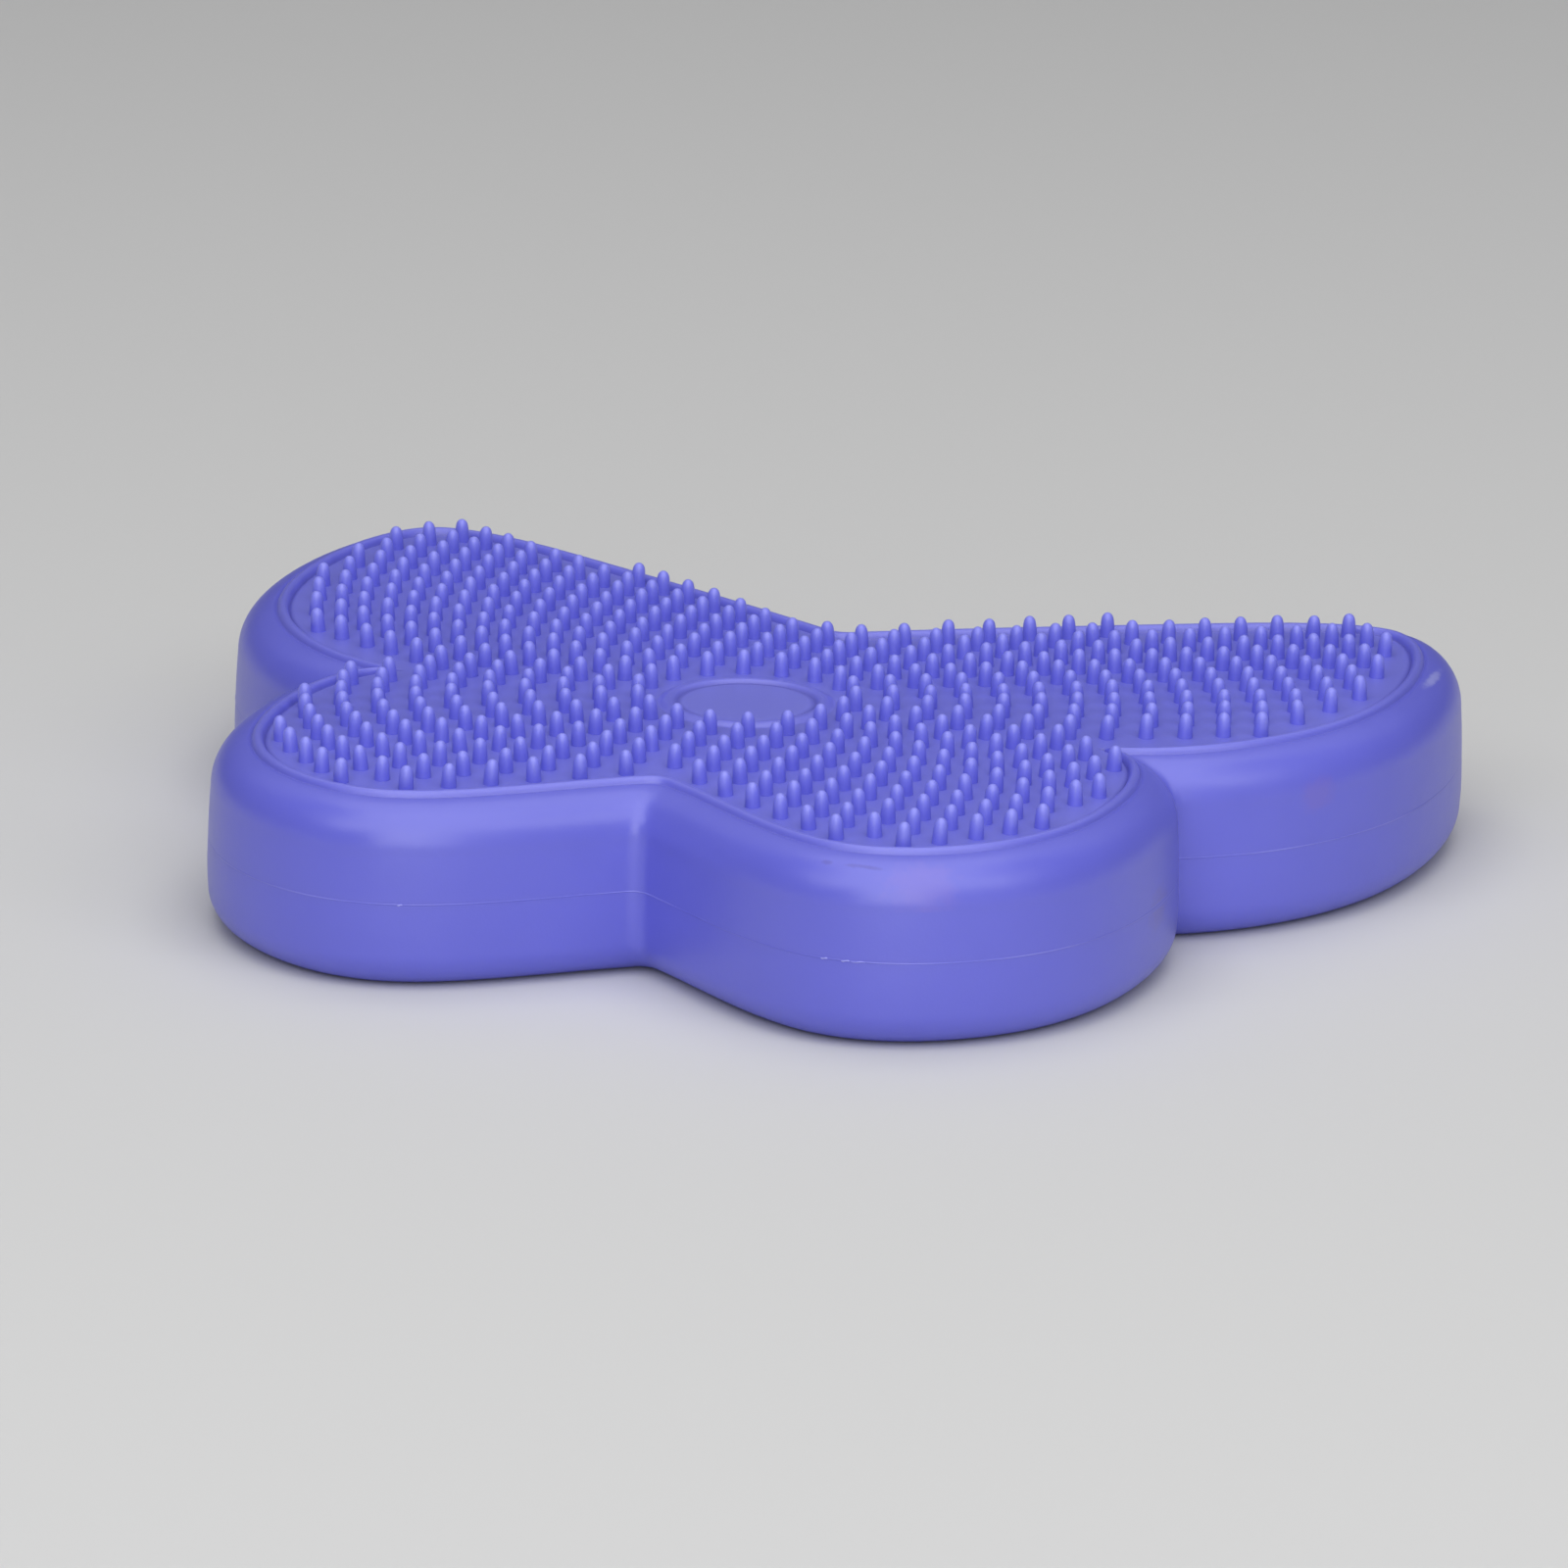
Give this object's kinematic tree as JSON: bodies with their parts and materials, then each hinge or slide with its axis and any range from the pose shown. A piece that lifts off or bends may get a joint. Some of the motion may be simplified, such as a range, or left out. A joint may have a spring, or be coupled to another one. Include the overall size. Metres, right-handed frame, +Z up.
{
  "type": "wobble cushion",
  "caption": "Air-filled four-lobed wobble seat cushion with a nubbed massage top that tilts and gives under a sitter.",
  "frame": {"origin": "middle of the flat base, on the surface the cushion lies on", "axes": "+Z up out of the nubbed top, +Y towards the two large rear wings, +X towards the wing on the right when seen from in front"},
  "size_m": [0.3016, 0.2437, 0.0513],
  "materials": {
    "shell": "satin moulded soft vinyl",
    "top": "satin moulded soft vinyl",
    "nub": "satin moulded soft vinyl",
    "seam": "satin, trimmed flash",
    "plug": "satin moulded soft vinyl",
    "core": "matt rubber"
  },
  "bodies": {
    "base": {"base_panel": "shell", "base_edge": "shell", "lower_wall": "shell", "valve_seat": "shell", "valve_core": "core"},
    "waist": {"seam_bead": "seam", "upper_wall": "shell"},
    "rim": {"shoulder": "shell"},
    "top": {"rim_bead": "nub", "top_panel": "top", "centre_disc": "top", "disc_ring": "nub", "nubs": "nub"},
    "plug": {"valve_plug": "plug"}
  },
  "joints": [
    {"name": "side_tilt", "type": "hinge", "parent": "base", "child": "waist", "pos_m": [0, 0, 0.021], "axis": [0, 1, 0], "range_deg": [-4, 4], "stiffness_Nm_per_rad": 60, "deforming": ["lower_wall"]},
    {"name": "fore_aft_tilt", "type": "hinge", "parent": "waist", "child": "rim", "pos_m": [0, 0, 0.028], "axis": [1, 0, 0], "range_deg": [-4, 4], "stiffness_Nm_per_rad": 60, "deforming": ["upper_wall"]},
    {"name": "press", "type": "slide", "parent": "rim", "child": "top", "axis": [0, 0, 1], "range_m": [-0.005, 0], "stiffness_N_per_m": 20000},
    {"name": "plug_pull", "type": "slide", "parent": "base", "child": "plug", "axis": [0, 0, -1], "range_m": [0, 0.012]}
  ]
}
